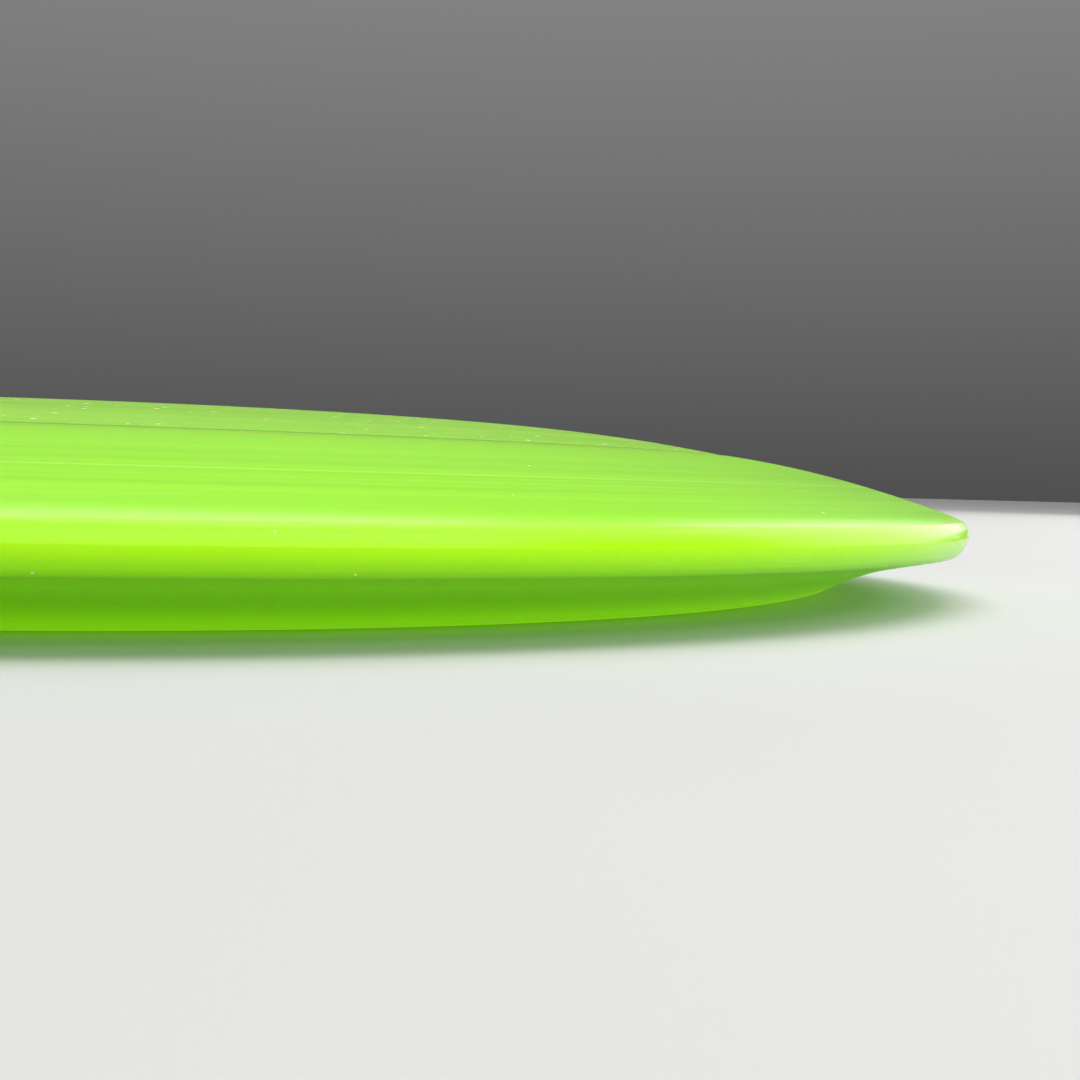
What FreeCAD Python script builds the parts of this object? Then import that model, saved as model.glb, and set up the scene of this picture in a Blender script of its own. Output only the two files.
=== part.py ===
import FreeCAD, Part
import math
import os

# Disc-golf distance driver: a flat-topped flying disc with a wide, sharp wing.
# Millimetres, +Z up, origin on the disc's axis in the plane that it rests on.
# Every piece is round about +Z, so each one is drawn as a section in the XZ plane and turned.

# Overall sizes
DIAMETER = 211.0
PARTING_HEIGHT = 7.2        # the widest point, where the two mould halves meet
CROWN_HEIGHT = 18.6         # top of the dome, on the axis

# Wing: from the seam with the flight plate, over the brow, to the nose's upper shoulder
SEAM_DIAMETER = 160.0
SEAM_HEIGHT = 15.2
SEAM_SLOPE = 7.6            # degrees
BROW_IN = 3.0               # how far the brow, where the wing turns steeper, lies inside the widest point
BROW_UP = 2.55              # and how far above the parting line
BROW_SLOPE = 18.5           # degrees
SHOULDER_IN = 0.6
SHOULDER_UP = 1.6
SHOULDER_SLOPE = 26.0       # degrees
FACE_TOP_SLOPE = 46.0       # degrees; the nose's upper face steepens from here
FACE_NOSE_SLOPE = 82.0      # to here at the parting line, and the lower face leans back by as much

# Underside of the wing: nose edge, chin, then a hollow sweep down to the rest face
EDGE_IN = 0.68
EDGE_DOWN = 1.6
FACE_EDGE_SLOPE = 56.0      # degrees; the lower face where it ends at the edge
EDGE_SLOPE = 48.0           # degrees; the chin where it starts at the edge
CHIN_IN = 1.5
CHIN_DOWN = 2.15
CHIN_SLOPE = 11.0           # degrees
HEEL_RADIUS = 90.8          # where the hollow sweep turns into the rounded heel
HEEL_HEIGHT = 1.07
HEEL_SLOPE = 26.7           # degrees

# Rest face and inner wall of the rim
REST_OUTER_RADIUS = 84.5
REST_INNER_RADIUS = 83.9
WALL_LEAD_IN = 0.6          # rounded corner from the rest face to the inner wall
WALL_DRAFT = 2.0            # degrees
WALL_FILLET = 2.5           # corner between the inner wall and the underside of the plate

# Flight plate
PLATE_THICKNESS = 1.8       # at the axis
MARGIN_THICKNESS = 2.3      # at the seam
SEAM_STEP = 0.2             # the plate's edge lies this much below the wing's edge
SEAM_GROOVE = 0.35          # depth of the fine groove along the seam
GROOVE_WIDTH = 0.25
DOME_EDGE_SLOPE = 10.7      # degrees

# Tangent lengths at the start and the end of each curve, as parts of the distance that it spans
TOP_REACH = (0.3, 0.4)
BROW_REACH = (0.35, 0.35)
UPPER_FACE_REACH = (0.356, 0.346)
LOWER_FACE_REACH = (0.285, 0.313)
CHIN_REACH = (0.35, 0.35)
HOLLOW_REACH = (0.4, 0.45)
HEEL_REACH = (0.2, 0.32)
DOME_REACH = (0.2755, 0.527)    # from the edge to the crown

# Gate mark left by the mould's feed, in the middle of the plate's underside
GATE_RADIUS = 4.0
GATE_DEPTH = 0.5

# Hot-stamped foil on top of the plate
FOIL_THICKNESS = 0.12
RING_RADIUS = 36.0          # outer edge of the border ring
RING_WIDTH = 1.2
RAY_COUNT = 24
RAY_INNER_RADIUS = 13.0
RAY_OUTER_RADIUS = 33.0
RAY_INNER_WIDTH = 1.0
RAY_OUTER_WIDTH = 4.0
HUB_RADIUS = 10.0           # outer edge of the small ring around the middle
HUB_WIDTH = 1.8

RADIUS = DIAMETER / 2
SEAM_RADIUS = SEAM_DIAMETER / 2
AXIS_POINT = FreeCAD.Vector(0, 0, 0)
AXIS = FreeCAD.Vector(0, 0, 1)


def at(radius, height):
    """Point of a section, in the XZ plane."""
    return FreeCAD.Vector(radius, 0, height)


def heading(angle, length):
    """Step of a given length; 0 degrees is outward and 90 degrees is up."""
    return at(length * math.cos(math.radians(angle)), length * math.sin(math.radians(angle)))


def sweep(start, start_angle, end, end_angle, reach):
    """Smooth curve that leaves start and reaches end in the given directions."""
    span = start.distanceToPoint(end)
    leaving = start + heading(start_angle, reach[0] * span)
    arriving = end - heading(end_angle, reach[1] * span)
    curve = Part.BezierCurve()
    curve.setPoles([start, leaving, arriving, end])
    return curve.toShape()


def line(start, end):
    return Part.LineSegment(start, end).toShape()


def corner(before, vertex, after, radius):
    """Arc of the given radius that rounds the corner at vertex; gives its two ends and the arc."""
    to_before = (before - vertex).normalize()
    to_after = (after - vertex).normalize()
    half_angle = to_before.getAngle(to_after) / 2
    start = vertex + to_before * (radius / math.tan(half_angle))
    end = vertex + to_after * (radius / math.tan(half_angle))
    bisector = (to_before + to_after).normalize()
    centre = vertex + bisector * (radius / math.sin(half_angle))
    middle = centre - bisector * radius
    return start, end, Part.Arc(start, middle, end).toShape()


def turned(edges):
    """Solid made by turning a closed section about the axis."""
    return Part.Face(Part.Wire(edges)).revolve(AXIS_POINT, AXIS, 360)


BROW = at(RADIUS - BROW_IN, PARTING_HEIGHT + BROW_UP)
SHOULDER = at(RADIUS - SHOULDER_IN, PARTING_HEIGHT + SHOULDER_UP)
NOSE = at(RADIUS, PARTING_HEIGHT)
EDGE = at(RADIUS - EDGE_IN, PARTING_HEIGHT - EDGE_DOWN)
CHIN = at(RADIUS - CHIN_IN, PARTING_HEIGHT - CHIN_DOWN)
HEEL = at(HEEL_RADIUS, HEEL_HEIGHT)
SEAM_TOP = at(SEAM_RADIUS, SEAM_HEIGHT)
SEAM_FLOOR = at(SEAM_RADIUS, SEAM_HEIGHT - SEAM_GROOVE)
SEAM_BOTTOM = at(SEAM_RADIUS, SEAM_HEIGHT - MARGIN_THICKNESS)
DOME_EDGE = at(SEAM_RADIUS - GROOVE_WIDTH, SEAM_HEIGHT - SEAM_STEP)
CROWN = at(0, CROWN_HEIGHT)


def wing_outline():
    """Outside of the rim, from the seam out over the wing, round the nose and in to the rest face."""
    rest_outer = at(REST_OUTER_RADIUS, 0)
    top = sweep(SEAM_TOP, -SEAM_SLOPE, BROW, -BROW_SLOPE, TOP_REACH)
    brow = sweep(BROW, -BROW_SLOPE, SHOULDER, -SHOULDER_SLOPE, BROW_REACH)
    upper_face = sweep(SHOULDER, -FACE_TOP_SLOPE, NOSE, -FACE_NOSE_SLOPE, UPPER_FACE_REACH)
    lower_face = sweep(NOSE, FACE_NOSE_SLOPE - 180, EDGE, FACE_EDGE_SLOPE - 180, LOWER_FACE_REACH)
    chin = sweep(EDGE, EDGE_SLOPE - 180, CHIN, CHIN_SLOPE - 180, CHIN_REACH)
    hollow = sweep(CHIN, CHIN_SLOPE - 180, HEEL, HEEL_SLOPE - 180, HOLLOW_REACH)
    heel = sweep(HEEL, HEEL_SLOPE - 180, rest_outer, -180, HEEL_REACH)
    return [top, brow, upper_face, lower_face, chin, hollow, heel]


def wall_outline():
    """Rest face, inner wall and the fillet that leads to the underside at the seam."""
    wall_foot = at(REST_INNER_RADIUS - WALL_LEAD_IN, 0)
    lean = math.tan(math.radians(WALL_DRAFT))
    fall = math.tan(math.radians(DOME_EDGE_SLOPE))
    wall_height = (SEAM_BOTTOM.z - (wall_foot.x - SEAM_RADIUS) * fall) / (1 - lean * fall)
    wall_head = at(wall_foot.x - wall_height * lean, wall_height)
    rest_outer = at(REST_OUTER_RADIUS, 0)
    foot_start, foot_end, foot_arc = corner(rest_outer, wall_foot, wall_head, WALL_LEAD_IN)
    head_start, head_end, head_arc = corner(wall_foot, wall_head, SEAM_BOTTOM, WALL_FILLET)
    return [line(rest_outer, foot_start), foot_arc, line(foot_end, head_start), head_arc,
            line(head_end, SEAM_BOTTOM)]


def make_rim():
    return turned(wing_outline() + wall_outline() + [line(SEAM_BOTTOM, SEAM_TOP)])


def dome_curve(lift):
    """Top of the flight plate, from its edge to the crown, raised by the given amount."""
    up = at(0, lift)
    return sweep(DOME_EDGE + up, 180 - DOME_EDGE_SLOPE, CROWN + up, 180, DOME_REACH)


def make_flight_plate():
    under_crown = at(0, CROWN_HEIGHT - PLATE_THICKNESS)
    underside = sweep(under_crown, 0, SEAM_BOTTOM, -DOME_EDGE_SLOPE, DOME_REACH[::-1])
    plate = turned([dome_curve(0), line(CROWN, under_crown), underside,
                    line(SEAM_BOTTOM, SEAM_FLOOR), line(SEAM_FLOOR, DOME_EDGE)])
    gate_height = PLATE_THICKNESS / 2 + GATE_DEPTH
    gate_foot = at(0, CROWN_HEIGHT - PLATE_THICKNESS - GATE_DEPTH)
    gate = Part.makeCylinder(GATE_RADIUS, gate_height, gate_foot, AXIS)
    return plate.fuse(gate).removeSplitter()


def foil_sheet():
    """Thin layer that lies on the whole dome; the foil pieces are cut from it."""
    return turned([dome_curve(FOIL_THICKNESS), line(CROWN + at(0, FOIL_THICKNESS), CROWN),
                   dome_curve(0), line(DOME_EDGE, DOME_EDGE + at(0, FOIL_THICKNESS))])


def tube(outer_radius, width):
    height = 2 * CROWN_HEIGHT
    outer = Part.makeCylinder(outer_radius, height, AXIS_POINT, AXIS)
    return outer.cut(Part.makeCylinder(outer_radius - width, height, AXIS_POINT, AXIS))


def make_foil_ring(sheet, outer_radius, width):
    return sheet.common(tube(outer_radius, width))


def make_foil_rays(sheet):
    """Tapered rays, widest at their outer ends, spaced evenly round the disc."""
    outline = [FreeCAD.Vector(RAY_INNER_RADIUS, -RAY_INNER_WIDTH / 2, 0),
               FreeCAD.Vector(RAY_OUTER_RADIUS, -RAY_OUTER_WIDTH / 2, 0),
               FreeCAD.Vector(RAY_OUTER_RADIUS, RAY_OUTER_WIDTH / 2, 0),
               FreeCAD.Vector(RAY_INNER_RADIUS, RAY_INNER_WIDTH / 2, 0)]
    prism = Part.Face(Part.makePolygon(outline + outline[:1])).extrude(at(0, 2 * CROWN_HEIGHT))
    ray = sheet.common(prism).Solids[0]
    rays = []
    for index in range(RAY_COUNT):
        copy = ray.copy()
        copy.rotate(AXIS_POINT, AXIS, index * 360 / RAY_COUNT)
        rays.append(copy)
    return Part.makeCompound(rays)


def main():
    os.makedirs("parts", exist_ok=True)
    sheet = foil_sheet()
    pieces = {
        "rim": make_rim(),
        "flight_plate": make_flight_plate(),
        "foil_border_ring": make_foil_ring(sheet, RING_RADIUS, RING_WIDTH),
        "foil_hub_ring": make_foil_ring(sheet, HUB_RADIUS, HUB_WIDTH),
        "foil_rays": make_foil_rays(sheet),
    }
    for name, shape in pieces.items():
        shape.exportStep(f"parts/{name}.step")
        box = shape.BoundBox
        print(name, len(shape.Solids), shape.isValid(), f"{shape.Volume / 1000:.2f} cm3",
              f"{box.XLength:.2f} x {box.YLength:.2f}, z {box.ZMin:.2f} to {box.ZMax:.2f}")


main()
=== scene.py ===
import math
import random

import bpy
from mathutils import Matrix, Vector
from mathutils.geometry import interpolate_bezier


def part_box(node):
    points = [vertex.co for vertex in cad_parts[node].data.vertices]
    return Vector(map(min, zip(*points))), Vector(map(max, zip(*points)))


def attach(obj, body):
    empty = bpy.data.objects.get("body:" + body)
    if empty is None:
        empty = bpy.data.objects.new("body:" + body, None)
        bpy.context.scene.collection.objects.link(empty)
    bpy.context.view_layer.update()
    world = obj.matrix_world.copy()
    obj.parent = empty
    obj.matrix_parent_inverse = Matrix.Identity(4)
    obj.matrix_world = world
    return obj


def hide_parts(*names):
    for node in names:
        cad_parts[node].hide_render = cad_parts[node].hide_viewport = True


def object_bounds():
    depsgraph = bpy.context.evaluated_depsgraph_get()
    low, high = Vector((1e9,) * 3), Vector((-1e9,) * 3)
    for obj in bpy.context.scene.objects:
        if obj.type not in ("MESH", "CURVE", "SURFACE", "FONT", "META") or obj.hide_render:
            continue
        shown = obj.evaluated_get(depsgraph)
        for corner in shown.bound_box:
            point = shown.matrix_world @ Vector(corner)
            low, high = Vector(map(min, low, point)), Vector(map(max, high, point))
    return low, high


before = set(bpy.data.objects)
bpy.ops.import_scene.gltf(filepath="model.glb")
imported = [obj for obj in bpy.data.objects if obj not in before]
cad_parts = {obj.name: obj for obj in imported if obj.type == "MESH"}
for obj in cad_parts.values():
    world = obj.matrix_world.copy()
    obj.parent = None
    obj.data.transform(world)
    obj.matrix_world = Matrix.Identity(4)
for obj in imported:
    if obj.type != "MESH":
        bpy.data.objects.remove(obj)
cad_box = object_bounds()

# Disc-golf driver: a lime-green moulded disc, round about the Z axis, resting on a pale floor.
# Metres. The radii and heights that the CAD nodes give are read from their boxes.

MM = 0.001

RIM_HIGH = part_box("rim")[1]
PLATE_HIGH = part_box("flight_plate")[1]
RADIUS = cad_box[1][0]
SEAM_RADIUS = round(PLATE_HIGH.x, 4)
SEAM_HEIGHT = RIM_HIGH.z
RING_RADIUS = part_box("foil_border_ring")[1].x
HUB_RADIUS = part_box("foil_hub_ring")[1].x
RING_WIDTH = 1.2 * MM
HUB_WIDTH = 1.8 * MM
RAY_COUNT = 24
RAY_CUTS = 24               # cuts along each ray, so that it follows the dome
DOME_STEPS = 400            # points along the dome, from which each foil ring takes its own
RAY_OUTER_RADIUS = 33.0 * MM
RAY_INNER_RADIUS = 13.0 * MM
RAY_OUTER_WIDTH = 4.0 * MM
RAY_INNER_WIDTH = 1.0 * MM
FOIL_THICKNESS = 0.06 * MM

# Corners of the rim's section, from the seam out over the wing and back in to the plate
PARTING_HEIGHT = 7.2 * MM   # the widest point, where the two mould halves meet
SEAM_TOP = Vector((SEAM_RADIUS, 0, SEAM_HEIGHT))
BROW = Vector((RADIUS - 3.0 * MM, 0, PARTING_HEIGHT + 2.55 * MM))
SHOULDER = Vector((RADIUS - 0.6 * MM, 0, PARTING_HEIGHT + 1.6 * MM))
NOSE = Vector((RADIUS, 0, PARTING_HEIGHT))
EDGE = Vector((RADIUS - 0.68 * MM, 0, PARTING_HEIGHT - 1.6 * MM))
CHIN = Vector((RADIUS - 1.5 * MM, 0, PARTING_HEIGHT - 2.15 * MM))
HEEL = Vector((90.8 * MM, 0, 1.07 * MM))
REST_OUTER = Vector((84.5 * MM, 0, 0))
REST_INNER = Vector((83.9 * MM, 0, 0))
WALL_FOOT = Vector((83.3 * MM, 0, 0.6 * MM))
WALL_HEAD = Vector((82.92 * MM, 0, 10.3 * MM))
CEILING = Vector((80.9 * MM, 0, 12.72 * MM))
SEAM_BOTTOM = Vector((SEAM_RADIUS, 0, SEAM_HEIGHT - 2.3 * MM))

# Corners of the flight plate's section; its edge lies a little below the rim's, inside a fine groove
SEAM_FLOOR = Vector((SEAM_RADIUS, 0, SEAM_HEIGHT - 0.35 * MM))
DOME_EDGE = Vector((SEAM_RADIUS - 0.25 * MM, 0, SEAM_HEIGHT - 0.08 * MM))
CROWN = Vector((0, 0, 18.6 * MM))
PLATE_THICKNESS = 1.8 * MM
GATE_RADIUS = 4.0 * MM
GATE_DEPTH = 0.5 * MM
GATE_CHAMFER = 0.4 * MM     # width of the gate mark's rounded edge
GATE_FLARE = 0.2 * MM       # how far its foot spreads

# Slopes in degrees, and the tangent lengths of each curve as parts of the distance that it spans
SEAM_SLOPE = 7.6
BROW_SLOPE = 18.5
SHOULDER_SLOPE = 26
FACE_TOP_SLOPE = 46
FACE_NOSE_SLOPE = 82
FACE_EDGE_SLOPE = 56
EDGE_SLOPE = 48
CHIN_SLOPE = 11
HEEL_SLOPE = 26.7
DOME_EDGE_SLOPE = 10.7
WALL_DRAFT = 2
TOP_REACH = (0.3, 0.4)
BROW_REACH = (0.35, 0.35)
UPPER_FACE_REACH = (0.356, 0.346)
LOWER_FACE_REACH = (0.285, 0.313)
CHIN_REACH = (0.35, 0.35)
HOLLOW_REACH = (0.4, 0.45)
HEEL_REACH = (0.2, 0.32)
CORNER_REACH = (0.4, 0.4)
DOME_REACH = (0.2755, 0.527)

TURNS = 320                 # steps round the disc
TOOL_HEIGHT = 0.0012 * MM   # how far the turning marks of the mould stand up or down
RIDGE_WIDTH = 0.16 * MM
# radius of a turned ridge on the wing, which the rim's colour gives a painted highlight
HIGHLIGHT_RIDGE_RADIUS = 94.5 * MM

# Radius and height of each fine raised ring
WING_RIDGES = ((86.0 * MM, 0.003 * MM), (90.5 * MM, 0.004 * MM), (HIGHLIGHT_RIDGE_RADIUS, 0.004 * MM),
               (98.5 * MM, 0.003 * MM), (101.3 * MM, 0.004 * MM))
PLATE_RIDGES = ((71.3 * MM, 0.02 * MM), (75.6 * MM, 0.012 * MM))

CREASE_ANGLE = 13           # degrees; sharper corners keep a crisp line
WELD = 0.002 * MM           # points closer than this are merged
FLASH_HEIGHT = 0.014 * MM   # thin line of plastic squeezed out where the mould halves meet


# ---------------------------------------------------------------- outlines

def heading(angle, length):
    """Step of a given length in the XZ plane; 0 degrees is outward and 90 degrees is up."""
    return Vector((length * math.cos(math.radians(angle)), 0, length * math.sin(math.radians(angle))))


def sweep(start, start_angle, end, end_angle, reach, count):
    """Points of a smooth curve that leaves start and reaches end in the given directions."""
    span = (end - start).length
    leaving = start + heading(start_angle, reach[0] * span)
    arriving = end - heading(end_angle, reach[1] * span)
    return interpolate_bezier(start, leaving, arriving, end, count)


def tooled(points, seed, ridges=()):
    """The same points, moved a little up or down as the turned mould leaves them; the ends stay."""
    draw = random.Random(seed)
    moved = [points[0]]
    for point in points[1:-1]:
        rise = draw.uniform(-TOOL_HEIGHT, TOOL_HEIGHT)
        for radius, height in ridges:
            rise += height * math.exp(-((point.x - radius) / RIDGE_WIDTH) ** 2)
        moved.append(point + Vector((0, 0, rise)))
    return moved + [points[-1]]


def joined(stretches):
    """One outline from stretches that each begin where the last one ended."""
    outline = list(stretches[0])
    for stretch in stretches[1:]:
        outline += stretch[1:]
    return outline


def rim_outline():
    """Closed section of the rim, from the seam's top corner and back to it."""
    top = sweep(SEAM_TOP, -SEAM_SLOPE, BROW, -BROW_SLOPE, TOP_REACH, 130)
    brow = sweep(BROW, -BROW_SLOPE, SHOULDER, -SHOULDER_SLOPE, BROW_REACH, 14)
    upper_face = sweep(SHOULDER, -FACE_TOP_SLOPE, NOSE, -FACE_NOSE_SLOPE, UPPER_FACE_REACH, 12)
    lower_face = sweep(NOSE, FACE_NOSE_SLOPE - 180, EDGE, FACE_EDGE_SLOPE - 180, LOWER_FACE_REACH, 12)
    chin = sweep(EDGE, EDGE_SLOPE - 180, CHIN, CHIN_SLOPE - 180, CHIN_REACH, 9)
    hollow = sweep(CHIN, CHIN_SLOPE - 180, HEEL, HEEL_SLOPE - 180, HOLLOW_REACH, 50)
    heel = sweep(HEEL, HEEL_SLOPE - 180, REST_OUTER, -180, HEEL_REACH, 24)
    foot = sweep(REST_INNER, 180, WALL_FOOT, 90 + WALL_DRAFT, CORNER_REACH, 8)
    fillet = sweep(WALL_HEAD, 90 + WALL_DRAFT, CEILING, 180 - DOME_EDGE_SLOPE, CORNER_REACH, 12)
    return joined([tooled(top, 1, WING_RIDGES), brow, upper_face, lower_face, chin,
                   tooled(hollow, 2), tooled(heel, 3), [REST_OUTER, REST_INNER], foot,
                   [WALL_FOOT, WALL_HEAD], fillet, [CEILING, SEAM_BOTTOM, SEAM_TOP]])


def dome_points(count):
    """Top of the flight plate, from its edge to the crown."""
    return sweep(DOME_EDGE, 180 - DOME_EDGE_SLOPE, CROWN, 180, DOME_REACH, count)


def plate_outline():
    """Closed section of the flight plate, with the gate mark in the middle of its underside."""
    top = tooled(dome_points(150), 4, PLATE_RIDGES)
    under_crown = CROWN - Vector((0, 0, PLATE_THICKNESS))
    gate_middle = under_crown - Vector((0, 0, GATE_DEPTH))
    gate_rim = gate_middle + Vector((GATE_RADIUS - GATE_CHAMFER, 0, 0))
    gate_side = under_crown + Vector((GATE_RADIUS, 0, -0.4 * GATE_DEPTH))
    gate_foot = under_crown + Vector((GATE_RADIUS + GATE_FLARE, 0, 0))
    underside = sweep(gate_foot, 0, SEAM_BOTTOM, -DOME_EDGE_SLOPE, DOME_REACH[::-1], 60)
    return joined([top, [CROWN, gate_middle], [gate_middle, gate_rim, gate_side, gate_foot],
                   tooled(underside, 5), [SEAM_BOTTOM, SEAM_FLOOR, DOME_EDGE]])


# ---------------------------------------------------------------- modelling

def deselect_all():
    bpy.ops.object.select_all(action="DESELECT")


def spun_piece(name, outline):
    """Piece that is round about the axis: its outline is extruded point by point and spun."""
    deselect_all()
    bpy.ops.mesh.primitive_plane_add(size=MM, location=outline[0])
    piece = bpy.context.object
    piece.name = name
    bpy.ops.object.mode_set(mode="EDIT")
    bpy.ops.mesh.select_all(action="SELECT")
    bpy.ops.mesh.merge(type="CENTER")
    for before, after in zip(outline, outline[1:]):
        bpy.ops.mesh.extrude_region_move(TRANSFORM_OT_translate={"value": after - before})
    bpy.ops.mesh.select_all(action="SELECT")
    bpy.ops.mesh.spin(steps=TURNS, angle=2 * math.pi, center=(0, 0, 0), axis=(0, 0, 1))
    bpy.ops.mesh.select_all(action="SELECT")
    bpy.ops.mesh.remove_doubles(threshold=WELD)
    bpy.ops.mesh.normals_make_consistent(inside=False)
    bpy.ops.object.mode_set(mode="OBJECT")
    bpy.ops.object.transform_apply(location=True, rotation=True, scale=True)
    bpy.ops.object.shade_smooth_by_angle(angle=math.radians(CREASE_ANGLE))
    piece.data.name = name
    return piece


def raise_flash(rim):
    """Uneven thin line of flash round the nose, where the two mould halves meet."""
    deselect_all()
    rim.select_set(True)
    bpy.context.view_layer.objects.active = rim
    bpy.ops.object.mode_set(mode="EDIT")
    bpy.ops.mesh.select_mode(type="VERT")
    bpy.ops.mesh.select_all(action="DESELECT")
    bpy.ops.object.mode_set(mode="OBJECT")
    slack = 0.01 * MM
    on_parting_line = [v for v in rim.data.vertices
                       if abs(v.co.z - PARTING_HEIGHT) < slack and v.co.xy.length > RADIUS - slack]
    for vertex in on_parting_line:
        vertex.select = True
    bpy.ops.object.mode_set(mode="EDIT")
    bpy.ops.transform.vertex_random(offset=FLASH_HEIGHT, uniform=0.3, normal=0.0, seed=7)
    bpy.ops.object.mode_set(mode="OBJECT")


def make_foil_ring(name, outer_radius, width):
    """Flat band of foil that lies on the dome."""
    dome = dome_points(DOME_STEPS)
    band = [p for p in dome if outer_radius - width <= p.x <= outer_radius]
    lift = Vector((0, 0, FOIL_THICKNESS))
    step = max(1, len(band) // 6)
    top = [p + lift for p in band[::step]]
    bottom = [p - lift for p in reversed(band[::step])]
    return spun_piece(name, top + bottom + [top[0]])


def make_ray(plate):
    """One tapered ray of foil: a flat strip, narrowed at its inner end, wrapped onto the dome."""
    deselect_all()
    length = RAY_OUTER_RADIUS - RAY_INNER_RADIUS
    middle = Vector(((RAY_OUTER_RADIUS + RAY_INNER_RADIUS) / 2, 0, CROWN.z + MM))
    bpy.ops.mesh.primitive_plane_add(size=1, location=middle)
    ray = bpy.context.object
    bpy.ops.transform.resize(value=(length, RAY_OUTER_WIDTH, 1))
    bpy.ops.object.transform_apply(location=True, rotation=True, scale=True)
    bpy.ops.object.mode_set(mode="EDIT")
    bpy.ops.mesh.select_mode(type="VERT")
    bpy.ops.mesh.select_all(action="DESELECT")
    bpy.ops.object.mode_set(mode="OBJECT")
    for vertex in ray.data.vertices:
        vertex.select = vertex.co.x < middle.x
    bpy.ops.object.mode_set(mode="EDIT")
    bpy.ops.transform.resize(value=(1, RAY_INNER_WIDTH / RAY_OUTER_WIDTH, 1))
    bpy.ops.mesh.select_all(action="SELECT")
    bpy.ops.mesh.subdivide(number_cuts=RAY_CUTS)
    bpy.ops.object.mode_set(mode="OBJECT")
    wrap = ray.modifiers.new("wrap", "SHRINKWRAP")
    wrap.wrap_method = "PROJECT"
    wrap.use_project_z = True
    wrap.use_negative_direction = True
    wrap.target = plate
    bpy.ops.object.modifier_apply(modifier=wrap.name)
    wall = ray.modifiers.new("thickness", "SOLIDIFY")
    wall.thickness = FOIL_THICKNESS
    wall.offset = 1
    bpy.ops.object.modifier_apply(modifier=wall.name)
    return ray


def make_rays(plate):
    """All the rays, each a turned copy of the first with its own mesh, joined into one piece."""
    first = make_ray(plate)
    rays = [first]
    for index in range(1, RAY_COUNT):
        copy = first.copy()
        copy.data = first.data.copy()
        copy.data.transform(Matrix.Rotation(index * 2 * math.pi / RAY_COUNT, 4, "Z"))
        bpy.context.scene.collection.objects.link(copy)
        rays.append(copy)
    deselect_all()
    for ray in rays:
        ray.select_set(True)
    bpy.context.view_layer.objects.active = first
    bpy.ops.object.join()
    first.name = "foil_sunburst"
    first.data.name = first.name
    return first


# ---------------------------------------------------------------- materials

class Value:
    """A number that varies over a surface; arithmetic on it adds Math nodes."""

    def __init__(self, finish, socket):
        self.finish = finish
        self.socket = socket

    def math(self, operation, *others, first=None):
        values = [self if first is None else first, *others]
        return self.finish.node("ShaderNodeMath", {"operation": operation}, dict(enumerate(values)))

    def __add__(self, other):
        return self.math("ADD", other)

    def __radd__(self, other):
        return self.math("ADD", other)

    def __sub__(self, other):
        return self.math("SUBTRACT", other)

    def __rsub__(self, other):
        return self.math("SUBTRACT", self, first=other)

    def __mul__(self, other):
        return self.math("MULTIPLY", other)

    def __rmul__(self, other):
        return self.math("MULTIPLY", other)

    def __truediv__(self, other):
        return self.math("DIVIDE", other)

    def ramp(self, low, high):
        """0 below low, 1 above high, smooth between them."""
        settings = {"interpolation_type": "SMOOTHSTEP"}
        inputs = {"Value": self, "From Min": low, "From Max": high}
        return self.finish.node("ShaderNodeMapRange", settings, inputs)


class Finish:
    """A material and the nodes in it."""

    def __init__(self, name):
        self.material = bpy.data.materials.new(name)
        self.material.use_nodes = True
        self.tree = self.material.node_tree
        self.shader = self.tree.nodes["Principled BSDF"]
        self.place = self.node("ShaderNodeTexCoord", {}, {}, output="Object")
        self.x = self.part(self.place, "X")
        self.y = self.part(self.place, "Y")
        self.z = self.part(self.place, "Z")
        self.radius = self.x.math("SQRT", first=self.x * self.x + self.y * self.y)

    def node(self, kind, settings, inputs, output=0):
        """Adds a node, sets it up, links or fills its sockets and gives one of its outputs."""
        node = self.tree.nodes.new(kind)
        for name, setting in settings.items():
            setattr(node, name, setting)
        for name, value in inputs.items():
            if isinstance(value, Value):
                self.tree.links.new(value.socket, node.inputs[name])
            else:
                node.inputs[name].default_value = value
        return Value(self, node.outputs[output])

    def part(self, vector, axis):
        return self.node("ShaderNodeSeparateXYZ", {}, {"Vector": vector}, output=axis)

    def vector(self, x, y, z):
        return self.node("ShaderNodeCombineXYZ", {}, {"X": x, "Y": y, "Z": z})

    def noise(self, place, scale, detail=2.0, rough=0.5):
        inputs = {"Vector": place, "Scale": scale, "Detail": detail, "Roughness": rough}
        return self.node("ShaderNodeTexNoise", {}, inputs, output="Fac")

    def blend(self, amount, low, high):
        """Mix of two colours; an amount of 0 gives the first and 1 the second."""
        inputs = {0: amount, 6: low, 7: high}
        return self.node("ShaderNodeMix", {"data_type": "RGBA"}, inputs, output=2)

    def set(self, **constants):
        for name, value in constants.items():
            self.shader.inputs[name.replace("_", " ")].default_value = value

    def link(self, name, value):
        self.tree.links.new(value.socket, self.shader.inputs[name])

    def bump(self, height, distance):
        inputs = {"Height": height, "Distance": distance, "Strength": 1.0}
        self.link("Normal", self.node("ShaderNodeBump", {}, inputs))


def colour(red, green, blue):
    return (red, green, blue, 1.0)


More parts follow.
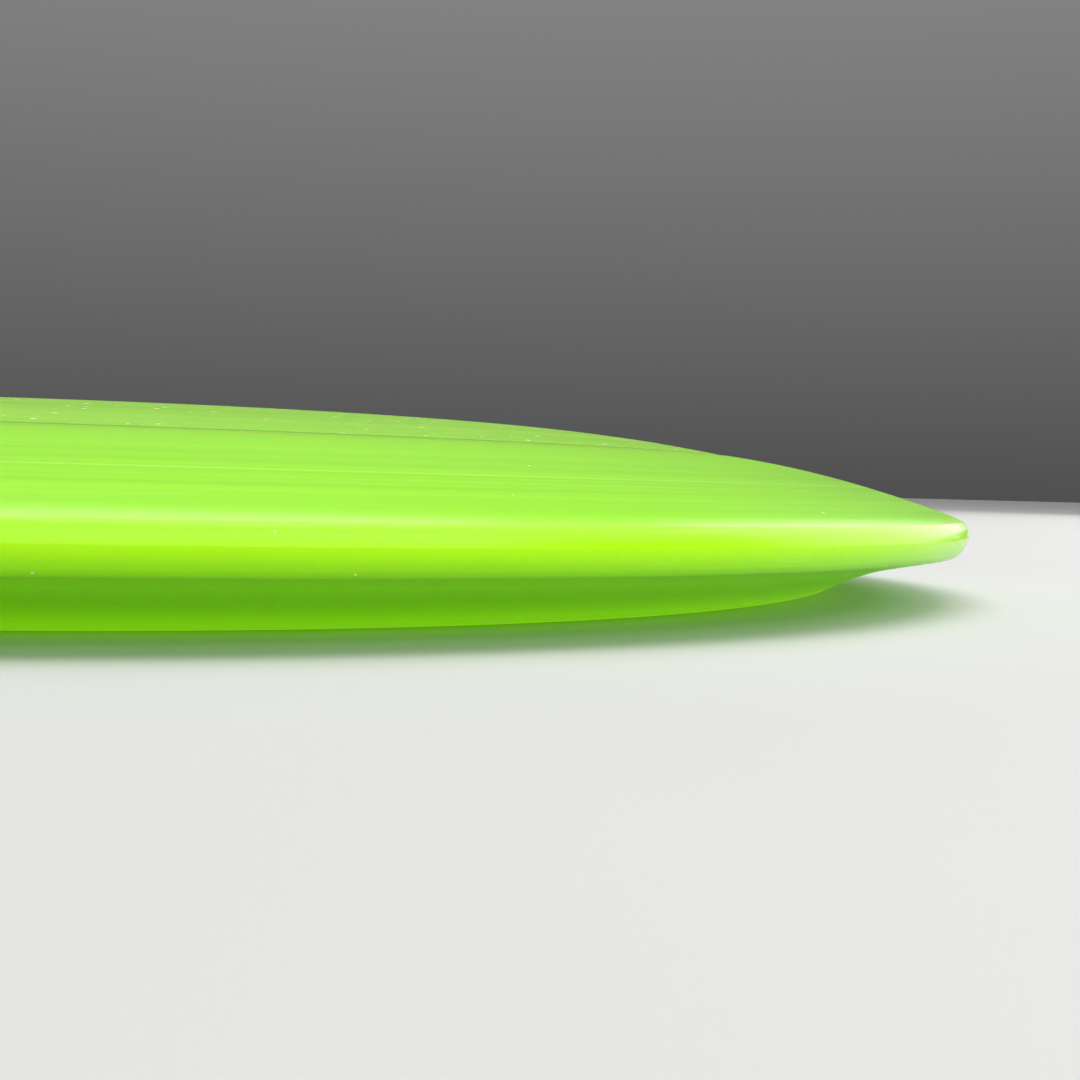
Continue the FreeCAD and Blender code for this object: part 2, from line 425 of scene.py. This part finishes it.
# Lime plastic: its own tones, painted light on the nose and a painted highlight on the shoulder, then
# painted shade and painted light on the underside from chin to heel
LIME = colour(0.30, 0.76, 0.003)
LIME_PALE = colour(0.34, 0.82, 0.008)
LIME_DEEP = colour(0.24, 0.66, 0.001)
LIME_FRESH = colour(0.36, 1.0, 0.0)
LIME_PAINTED_HIGHLIGHT = colour(0.55, 1.0, 0.16)
LIME_NOSE_PAINTED_LIGHT = colour(0.48, 0.92, 0.0)
LIME_SHADE = colour(0.26, 0.80, 0.0)
LIME_HEEL_PAINTED_LIGHT = colour(0.48, 0.98, 0.01)
UNDERSIDE_PAINTED_GLOW = colour(0.10, 0.26, 0.0)

DUST = colour(0.66, 0.86, 0.42)
SPECK = colour(0.92, 1.0, 0.62)
# painted shade in the seam groove, a dark green line
SEAM_PAINTED_SHADE = colour(0.06, 0.30, 0.002)

FOIL_SILVER = colour(0.46, 0.47, 0.50)
FOIL_DULL = colour(0.34, 0.36, 0.39)
FLOOR_GREY = colour(0.58, 0.58, 0.57)
FLOOR_PALE = colour(0.62, 0.62, 0.61)
BLACK = colour(0.0, 0.0, 0.0)

SCATTER_DEPTH = 6 * MM                  # how far light spreads inside the plastic
SCATTER_SHARES = (0.42, 1.0, 0.05)      # for red, green and blue
GRAIN_DEPTH = 0.003 * MM                # of the plastic's fine turned surface
FOIL_GRAIN_DEPTH = 0.006 * MM
SEAM_SHADE_RADIUS = 79.0 * MM                # of the painted shade line beside the seam groove


def turning_marks(finish, spacing, detail=3.0):
    """Fine rings left by the turned mould, broken up along their length; 0 to 1."""
    across = (finish.radius - finish.z) / spacing
    ring = finish.vector(across, finish.x * 6, finish.y * 6)
    return finish.noise(ring, 1.0, detail, 0.65)


def dust_specks(finish, spacing, share):
    """Small pale specks scattered over the surface; 0 to 1."""
    inputs = {"Vector": finish.place, "Scale": 1 / spacing}
    cell = finish.node("ShaderNodeTexVoronoi", {}, inputs, output="Distance")
    patch = finish.noise(finish.place, 0.35 / spacing, 2.0, 0.6)
    return (1 - cell.ramp(0.06, 0.13)) * patch.ramp(1 - share, 1 - share + 0.06)


def near(value, middle, width):
    """1 where the value is at middle, 0 further than width from it."""
    return 1 - (value - middle).math("ABSOLUTE").ramp(0, width)


def underside(finish, tone):
    """Painted shade and painted light under the wing: a deeper, greener colour below the chin that turns
    paler towards the heel, and a painted glow that is stronger towards the heel.
    """
    below = 1 - finish.z.ramp(3.8 * MM, 5.3 * MM)
    heel = 1 - finish.z.ramp(0.1 * MM, 3.0 * MM)
    outside = finish.radius.ramp(84 * MM, 85 * MM)
    # Painted glow: emission that stands in for light from below, stronger towards the heel
    painted_glow = below * outside * (heel * 0.6 + 0.4)
    finish.link("Emission Color", finish.blend(painted_glow, BLACK, UNDERSIDE_PAINTED_GLOW))
    finish.set(Emission_Strength=1.0)
    # Painted shade under the chin, turning to painted light towards the heel
    return finish.blend(below * outside, tone, finish.blend(heel, LIME_SHADE, LIME_HEEL_PAINTED_LIGHT))


def lime_plastic(name, speck_spacing, dustiness, haze):
    """Glossy, translucent lime elastomer from a turned mould; gives its Finish and its tone."""
    finish = Finish(name)
    fine = turning_marks(finish, 0.3 * MM)
    broad = turning_marks(finish, 1.7 * MM)
    scratch = turning_marks(finish, 0.8 * MM, 1.0).ramp(0.62, 0.70)
    tone = finish.blend(broad.ramp(0.3, 0.72), LIME_DEEP, LIME_PALE)
    tone = finish.blend(0.58, tone, LIME)
    tone = finish.blend(fine.ramp(0.4, 0.75) * 0.22, tone, LIME_DEEP)
    tone = finish.blend(scratch * 0.35, tone, LIME_DEEP)
    tone = underside(finish, tone)
    specks = dust_specks(finish, speck_spacing, dustiness)
    film = turning_marks(finish, 4.0 * MM).ramp(0.25, 0.8) * haze
    tone = finish.blend(film, tone, DUST)
    tone = finish.blend(specks * 0.9, tone, SPECK)
    finish.roughness = fine * 0.08 + film * 0.6 + specks * 0.3 + 0.16
    finish.height = fine * 0.7 + broad * 0.6 - scratch * 0.4 + specks * 3.0
    finish.set(Subsurface_Weight=0.6, Subsurface_Radius=SCATTER_SHARES, Subsurface_Scale=SCATTER_DEPTH)
    finish.set(IOR=1.46, Specular_IOR_Level=0.24)
    return finish, tone


def rim_plastic():
    """Rim: fresh colour by the seam, a painted highlight along a turned ridge and on the shoulder,
    painted light on the nose band and a lightly scuffed nose.
    """
    finish, tone = lime_plastic("lime_rim", 1.3 * MM, 0.34, 0.02)
    top = finish.z.ramp(PARTING_HEIGHT, PARTING_HEIGHT + 0.1 * MM)
    by_seam = (1 - finish.radius.ramp(81 * MM, 93 * MM)) * top
    # Painted highlight: a pale line along the turned ridge on the wing
    ring = near(finish.radius, HIGHLIGHT_RIDGE_RADIUS, 0.4 * MM) * top
    # Painted highlight on the outer shoulder, fading down towards the parting line
    rise = finish.z.ramp(PARTING_HEIGHT, PARTING_HEIGHT + 1.4 * MM)
    shoulder = rise * finish.radius.ramp(103.2 * MM, 105 * MM)
    tone = finish.blend(by_seam * 0.6, tone, LIME_FRESH)
    tone = finish.blend(ring * 0.28, tone, LIME_PAINTED_HIGHLIGHT)
    # Painted light: the nose band is paler and yellower where the lamps fall on it; the scuffs below lie
    # in the same band
    band = near(finish.z, PARTING_HEIGHT, 2.2 * MM) * finish.radius.ramp(102 * MM, 103 * MM)
    tone = finish.blend(band * 0.8, tone, LIME_NOSE_PAINTED_LIGHT)
    tone = finish.blend(shoulder * 0.3, tone, LIME_PAINTED_HIGHLIGHT)
    scuff = turning_marks(finish, 0.5 * MM).ramp(0.5, 0.7)
    patch = finish.noise(finish.place, 60.0, 3.0, 0.6).ramp(0.45, 0.65)
    scuff = scuff * patch * band
    tone = finish.blend(scuff * 0.12, tone, DUST)
    finish.link("Base Color", tone)
    finish.link("Roughness", finish.roughness + scuff * 0.3)
    finish.bump(finish.height + scuff * 0.3, GRAIN_DEPTH)
    return finish.material


def plate_plastic():
    """Flight plate: a little duller and dustier, with a painted shade line along the seam groove."""
    finish, tone = lime_plastic("lime_plate", 2.4 * MM, 0.56, 0.12)
    # Painted shade: a dark line beside the seam, where the groove lies in shade
    seam_shade = near(finish.radius, SEAM_SHADE_RADIUS, 0.7 * MM) * finish.z.ramp(13.6 * MM, 14.0 * MM)
    tone = finish.blend(seam_shade * 0.85, tone, SEAM_PAINTED_SHADE)
    finish.link("Base Color", tone)
    finish.link("Roughness", finish.roughness + seam_shade * 0.3)
    finish.bump(finish.height, GRAIN_DEPTH)
    return finish.material


def stamped_foil():
    """Bright hot-stamped foil, with lime showing through where it has rubbed off."""
    finish = Finish("hot_stamped_foil")
    rubbed = finish.noise(finish.place, 900.0, 4.0, 0.7).ramp(0.66, 0.72)
    tone = finish.noise(finish.place, 60.0, 3.0, 0.5)
    silver = finish.blend(tone.ramp(0.3, 0.7), FOIL_SILVER, FOIL_DULL)
    finish.link("Base Color", finish.blend(rubbed, silver, LIME))
    finish.link("Metallic", 1 - rubbed)
    finish.link("Roughness", tone * 0.12 + rubbed * 0.15 + 0.14)
    finish.bump(finish.noise(finish.place, 1400.0, 3.0, 0.6), FOIL_GRAIN_DEPTH)
    return finish.material


def pale_floor():
    """Matt, nearly plain floor."""
    finish = Finish("pale_floor")
    grain = finish.noise(finish.place, 12.0, 3.0, 0.5)
    finish.link("Base Color", finish.blend(grain, FLOOR_GREY, FLOOR_PALE))
    finish.set(Roughness=0.75)
    return finish.material


def dress(piece, material):
    piece.data.materials.clear()
    piece.data.materials.append(material)


# ---------------------------------------------------------------- pieces

rim = spun_piece("moulded_rim", rim_outline())
raise_flash(rim)
dress(rim, rim_plastic())
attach(rim, "root")
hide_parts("rim")

plate = spun_piece("domed_flight_plate", plate_outline())
dress(plate, plate_plastic())
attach(plate, "root")
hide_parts("flight_plate")

foil = stamped_foil()
border = make_foil_ring("foil_border", RING_RADIUS, RING_WIDTH)
hub = make_foil_ring("foil_hub", HUB_RADIUS, HUB_WIDTH)
rays = make_rays(plate)
for piece, node in ((border, "foil_border_ring"), (hub, "foil_hub_ring"), (rays, "foil_rays")):
    dress(piece, foil)
    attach(piece, "root")
    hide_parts(node)


# ---------------------------------------------------------------- floor, light and camera

deselect_all()
bpy.ops.mesh.primitive_plane_add(size=6, location=(0, 0, 0))
floor = bpy.context.object
floor.name = "floor"
dress(floor, pale_floor())


def soft_light(name, place, width, height, brightness):
    """Soft rectangular light that faces the disc; brightness is that of its own surface."""
    data = bpy.data.lights.new(name, "AREA")
    data.shape = "RECTANGLE"
    data.size = width
    data.size_y = height
    data.energy = brightness * math.pi * width * height
    light = bpy.data.objects.new(name, data)
    light.location = place
    light.rotation_euler = (-Vector(place)).to_track_quat("-Z", "Y").to_euler()
    bpy.context.scene.collection.objects.link(light)


# Name, place, width, height and brightness
soft_light("overhead", (0.1, -0.05, 0.9), 0.9, 0.9, 2.4)
soft_light("front", (0.2, -1.0, 0.35), 1.5, 0.54, 2.35)
soft_light("side", (0.75, 0.25, 0.33), 0.92, 0.6, 1.8)
soft_light("back", (0.1, 0.78, 1.05), 0.75, 0.34, 1.6)

HORIZON_GREY = 0.08
OVERHEAD_GREY = 0.5
OVERHEAD_START = 0.8        # the sine of the height above the horizon where the grey stops changing


def studio_world():
    """Plain grey surroundings, darker at the horizon than overhead."""
    world = bpy.data.worlds.new("studio")
    world.use_nodes = True
    nodes = world.node_tree.nodes
    links = world.node_tree.links
    direction = nodes.new("ShaderNodeTexCoord")
    parts = nodes.new("ShaderNodeSeparateXYZ")
    shade = nodes.new("ShaderNodeMapRange")
    shade.inputs["From Min"].default_value = 0.0
    shade.inputs["From Max"].default_value = OVERHEAD_START
    shade.inputs["To Min"].default_value = HORIZON_GREY
    shade.inputs["To Max"].default_value = OVERHEAD_GREY
    links.new(direction.outputs["Generated"], parts.inputs["Vector"])
    links.new(parts.outputs["Z"], shade.inputs["Value"])
    links.new(shade.outputs["Result"], nodes["Background"].inputs["Color"])
    bpy.context.scene.world = world


studio_world()
bpy.context.scene.view_settings.view_transform = "Standard"

CAMERA_DISTANCE = 212.9 * MM        # from the disc's axis
CAMERA_HEIGHT = PARTING_HEIGHT + 4.54 * MM
CAMERA_YAW = 15.444                 # degrees, to the right of the axis
CAMERA_PITCH = -1.939
CAMERA_ROLL = 1.535
FOCAL_RATIO = 1.5616                # focal length as a part of the picture's width
SENSOR_WIDTH = 36                   # millimetres, as cameras give it


def place_camera():
    """Camera in front of the disc, a little above its widest point and turned to its right."""
    yaw = math.radians(CAMERA_YAW)
    pitch = math.radians(CAMERA_PITCH)
    roll = math.radians(CAMERA_ROLL)
    forward = Vector((math.sin(yaw) * math.cos(pitch), math.cos(yaw) * math.cos(pitch), math.sin(pitch)))
    level = Vector((math.cos(yaw), -math.sin(yaw), 0))
    upright = level.cross(forward)
    right = math.cos(roll) * level + math.sin(roll) * upright
    up = math.cos(roll) * upright - math.sin(roll) * level
    data = bpy.data.cameras.new("camera")
    data.sensor_width = SENSOR_WIDTH
    data.lens = FOCAL_RATIO * SENSOR_WIDTH
    data.clip_start = MM
    camera = bpy.data.objects.new("camera", data)
    rotation = Matrix((right, up, -forward)).transposed().to_4x4()
    camera.matrix_world = Matrix.Translation((0, -CAMERA_DISTANCE, CAMERA_HEIGHT)) @ rotation
    bpy.context.scene.collection.objects.link(camera)
    bpy.context.scene.camera = camera


place_camera()
